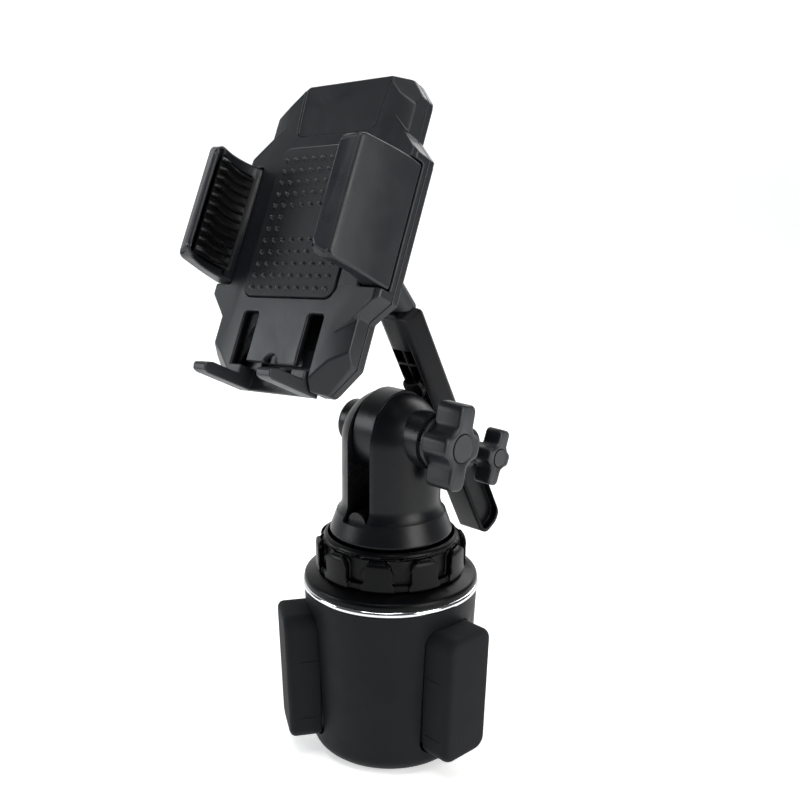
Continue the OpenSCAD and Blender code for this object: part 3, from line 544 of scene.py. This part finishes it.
def knob_piece(name, node, body, place, base_x, lobe_x, face_x, long_r, short_r, w,
               flange_r, cap_r, bore):
    """Flange, barrel, lobes with a round front edge, and the seat of the cap."""
    bm = bmesh.new()
    shape = (long_r, short_r, w)
    barrel = short_r * 0.66
    rings = [
        round_ring(bm, face_x - 2.1, bore),
        round_ring(bm, base_x, bore),
        round_ring(bm, base_x, flange_r - 0.25),
        round_ring(bm, base_x + 0.25, flange_r),
        round_ring(bm, base_x + 1.1, flange_r),
        round_ring(bm, base_x + 1.4, flange_r - 0.3),
        round_ring(bm, base_x + 1.4, barrel + 0.5),
        round_ring(bm, base_x + 1.9, barrel),
        round_ring(bm, lobe_x, barrel - 0.05),
        knob_ring(bm, lobe_x, 0.9, *shape),
        knob_ring(bm, lobe_x + 0.1, 0.45, *shape),
        knob_ring(bm, lobe_x + 0.45, 0.1, *shape),
        knob_ring(bm, lobe_x + 0.9, 0.0, *shape),
        knob_ring(bm, face_x - FACE_EDGE, 0.0, *shape),
    ]
    for k in range(1, 7):
        a = math.radians(15 * k)
        back, inset = FACE_EDGE * (1 - math.sin(a)), FACE_EDGE * (1 - math.cos(a))
        rings.append(knob_ring(bm, face_x - back, inset, *shape))
    rings += [
        round_ring(bm, face_x, cap_r + 0.45),
        round_ring(bm, face_x - 0.15, cap_r + 0.2),
        round_ring(bm, face_x - 1.2, cap_r + 0.15),
        round_ring(bm, face_x - 1.2, bore),
    ]
    rings.append(rings[0])
    skin(bm, rings, close_start=False, close_end=False)
    piece = new_piece(name, bm, BLACK, body, place, 40.0)
    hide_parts(node)


knob_piece(
    "knob_large", "knob_1", "pivot_knob", move(*PIVOT) @ rot("X", -13),
    base_x=21.95, lobe_x=22.6, face_x=34.2, long_r=15.6, short_r=9.8, w=8.6,
    flange_r=9.4, cap_r=5.2, bore=4.6,
)
knob_piece(
    "knob_small", "knob_2", "elbow_knob", move(*ELBOW) @ rot("X", -22),
    base_x=8.45, lobe_x=16.2, face_x=24.0, long_r=10.9, short_r=6.8, w=6.2,
    flange_r=6.4, cap_r=3.5, bore=3.6,
)


# ---------------------------------------------------------------- jaw liners
# a thin rubber sheet on the jaw's hollow face, with wavy fins
LINER_X, LINER_Y = 9.6, -8
LINER_R = 21.7
LINER_BACK = 1.4
LINER_FROM, LINER_TO = math.radians(-30.2), math.radians(15.8)
LINER_Z0, LINER_Z1 = -18.0, 15.8
LINER_STEPS = 40
FIN_COUNT = 11
FIN_Z, FIN_PITCH = -16.2, 3.12
FIN_END = math.radians(0.6)
# height of a fin by its share of the way from the jaw's lip to its root
FIN = [(0.0, 0.25), (0.05, 1.0), (0.11, 1.75), (0.18, 1.9), (0.27, 1.45), (0.38, 0.95),
       (0.5, 0.85), (0.62, 1.05), (0.76, 1.25), (0.88, 1.0), (0.96, 0.5), (1.0, 0.15)]


def fin_height(share):
    for (a, height_a), (b, height_b) in zip(FIN, FIN[1:]):
        if share <= b:
            f = (share - a) / (b - a)
            f = f * f * (3 - 2 * f)
            return height_a + (height_b - height_a) * f
    return FIN[-1][1]


def liner_piece(name, node, body, sign):
    """Liner of the right jaw (sign 1) or the left jaw (sign -1)."""
    bm = bmesh.new()

    def at(phi, r, z):
        x = sign * (LINER_X + r * math.cos(phi))
        y = LINER_Y + r * math.sin(phi)
        return bm.verts.new((x * MM, y * MM, z * MM))

    def sheet():
        front, edge, back = LINER_R + 0.15, LINER_R + 0.45, LINER_R + LINER_BACK
        section = [
            (front, LINER_Z0 + 0.3), (edge, LINER_Z0), (back, LINER_Z0),
            (back, LINER_Z1), (edge, LINER_Z1), (front, LINER_Z1 - 0.3),
        ]
        rings = []
        for k in range(LINER_STEPS + 1):
            phi = LINER_FROM + (LINER_TO - LINER_FROM) * k / LINER_STEPS
            rings.append([at(phi, r, z) for r, z in section])
        skin(bm, rings)

    def fin(middle):
        rings = []
        for k in range(LINER_STEPS + 1):
            share = k / LINER_STEPS
            phi = LINER_FROM + FIN_END + (LINER_TO - LINER_FROM - 2 * FIN_END) * share
            height = fin_height(share)
            near_lip = share < 0.25
            half = 0.52 + 0.16 * math.sin(math.pi * min(1.0, share * 4)) * near_lip
            z = middle + 0.5 * math.sin(share * 5.5) * 0.35
            ring = []
            for q in range(9):
                b = math.pi * q / 8
                r = LINER_R + 0.3 - (height + 0.2) * math.sin(b) ** 0.8
                ring.append(at(phi, r, z + (half + 0.25 * (1 - math.sin(b))) * math.cos(b)))
            ring.append(at(phi, LINER_R + 0.6, z))
            rings.append(ring)
        skin(bm, rings)

    sheet()
    for i in range(FIN_COUNT):
        fin(FIN_Z + FIN_PITCH * i)
    piece = new_piece(name, bm, LINER, body, AT_CRADLE, 55.0)
    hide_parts(node)


liner_piece("jaw_liner_right", "liner_right", "jaw_right", 1)
liner_piece("jaw_liner_left", "liner_left", "jaw_left", -1)


# ---------------------------------------------------------------- stage
FLOOR_FRONT, FLOOR_BACK, FLOOR_TOP = -1.2, 1.4, 2.6
FLOOR_HALF = 2.6
FLOOR_SWEEP = 0.5


def paper():
    t = Tree("paper")
    t.link(t.mix(t.ramp(t.noise(9.0), 0, 1), (0.83, 0.83, 0.83), (0.86, 0.86, 0.86)),
           t.bsdf.inputs["Base Color"])
    t.bsdf.inputs["Roughness"].default_value = 0.9
    t.bsdf.inputs["Specular IOR Level"].default_value = 0.1
    t.bsdf.inputs["Emission Color"].default_value = (1, 1, 1, 1)
    t.bsdf.inputs["Emission Strength"].default_value = 0.5
    return t.mat


def backdrop():
    """White floor that sweeps up into a wall behind the object, square to the camera."""
    right = Vector((0.742, 0.671, 0))
    back = Vector((-0.671, 0.742, 0))
    start = FLOOR_BACK - FLOOR_SWEEP
    profile = [(FLOOR_FRONT, 0.0), (start, 0.0)]
    for k in range(1, 9):
        a = math.radians(90 * k / 8)
        profile.append((start + FLOOR_SWEEP * math.sin(a), FLOOR_SWEEP * (1 - math.cos(a))))
    profile.append((FLOOR_BACK, FLOOR_TOP))
    bm = bmesh.new()
    rows = [
        [bm.verts.new(right * s + back * d + Vector((0, 0, h))) for d, h in profile]
        for s in (-FLOOR_HALF, FLOOR_HALF)
    ]
    for k in range(len(profile) - 1):
        bm.faces.new((rows[0][k], rows[1][k], rows[1][k + 1], rows[0][k + 1]))
    bmesh.ops.recalc_face_normals(bm, faces=bm.faces)
    me = bpy.data.meshes.new("floor")
    bm.to_mesh(me)
    bm.free()
    for p in me.polygons:
        p.use_smooth = True
    me.materials.append(paper())
    floor = bpy.data.objects.new("floor", me)
    scene.collection.objects.link(floor)


backdrop()

# ---------------------------------------------------------------- light
world = bpy.data.worlds.new("studio")
scene.world = world
world.use_nodes = True
world.node_tree.nodes["Background"].inputs[0].default_value = (0.95, 0.97, 1.0, 1)
world.node_tree.nodes["Background"].inputs[1].default_value = 0.1

# what the lights point at, near the middle of the object
TARGET = Vector((0, -0.005, 0.13))


def area_light(name, where, width, height, power, tint=(1, 1, 1)):
    data = bpy.data.lights.new(name, "AREA")
    data.shape = "RECTANGLE"
    data.size = width
    data.size_y = height
    data.energy = power
    data.color = tint
    ob = bpy.data.objects.new(name, data)
    scene.collection.objects.link(ob)
    ob.location = TARGET + where
    ob.rotation_mode = "QUATERNION"
    ob.rotation_quaternion = (-where).to_track_quat("-Z", "Y")


def around(azimuth, elevation, distance):
    """Azimuth as seen from above: 0 in front (-Y), positive towards +X."""
    a, e = math.radians(azimuth), math.radians(elevation)
    return Vector((
        distance * math.sin(a) * math.cos(e),
        -distance * math.cos(a) * math.cos(e),
        distance * math.sin(e),
    ))


area_light("key", around(92, 18, 0.95), 0.45, 0.7, 8.0, (1, 0.99, 0.97))
area_light("left", around(-44, 17, 1.0), 0.32, 0.4, 4.0, (0.93, 0.97, 1))
area_light("top", around(15, 72, 0.9), 0.45, 0.45, 4.6, (0.97, 0.99, 1))
area_light("rim", around(185, 35, 1.0), 0.55, 0.55, 3.2)

# ---------------------------------------------------------------- camera
CAMERA_PLACE = (0.2583, -0.2813, 0.2370)
CAMERA_YAW = -0.735
CAMERA_DOWN = math.radians(14.5)
CAMERA_ROLL = 0.009


def camera():
    """Camera that looks along its yaw and down, rolled a little about its own axis."""
    data = bpy.data.cameras.new("camera")
    data.sensor_width = 36.0
    data.lens = 48.03
    data.clip_start, data.clip_end = 0.01, 20
    flat_x, flat_y = math.sin(CAMERA_YAW), math.cos(CAMERA_YAW)
    look = Vector((
        flat_x * math.cos(CAMERA_DOWN), flat_y * math.cos(CAMERA_DOWN), -math.sin(CAMERA_DOWN)))
    level = Vector((flat_y, -flat_x, 0.0))
    upright = level.cross(look)
    side = level * math.cos(CAMERA_ROLL) + upright * math.sin(CAMERA_ROLL)
    up = upright * math.cos(CAMERA_ROLL) - level * math.sin(CAMERA_ROLL)
    turn = Matrix((side, up, -look)).transposed().to_4x4()
    ob = bpy.data.objects.new("camera", data)
    scene.collection.objects.link(ob)
    ob.matrix_world = Matrix.Translation(CAMERA_PLACE) @ turn
    scene.camera = ob


camera()
scene.view_settings.view_transform = "Standard"
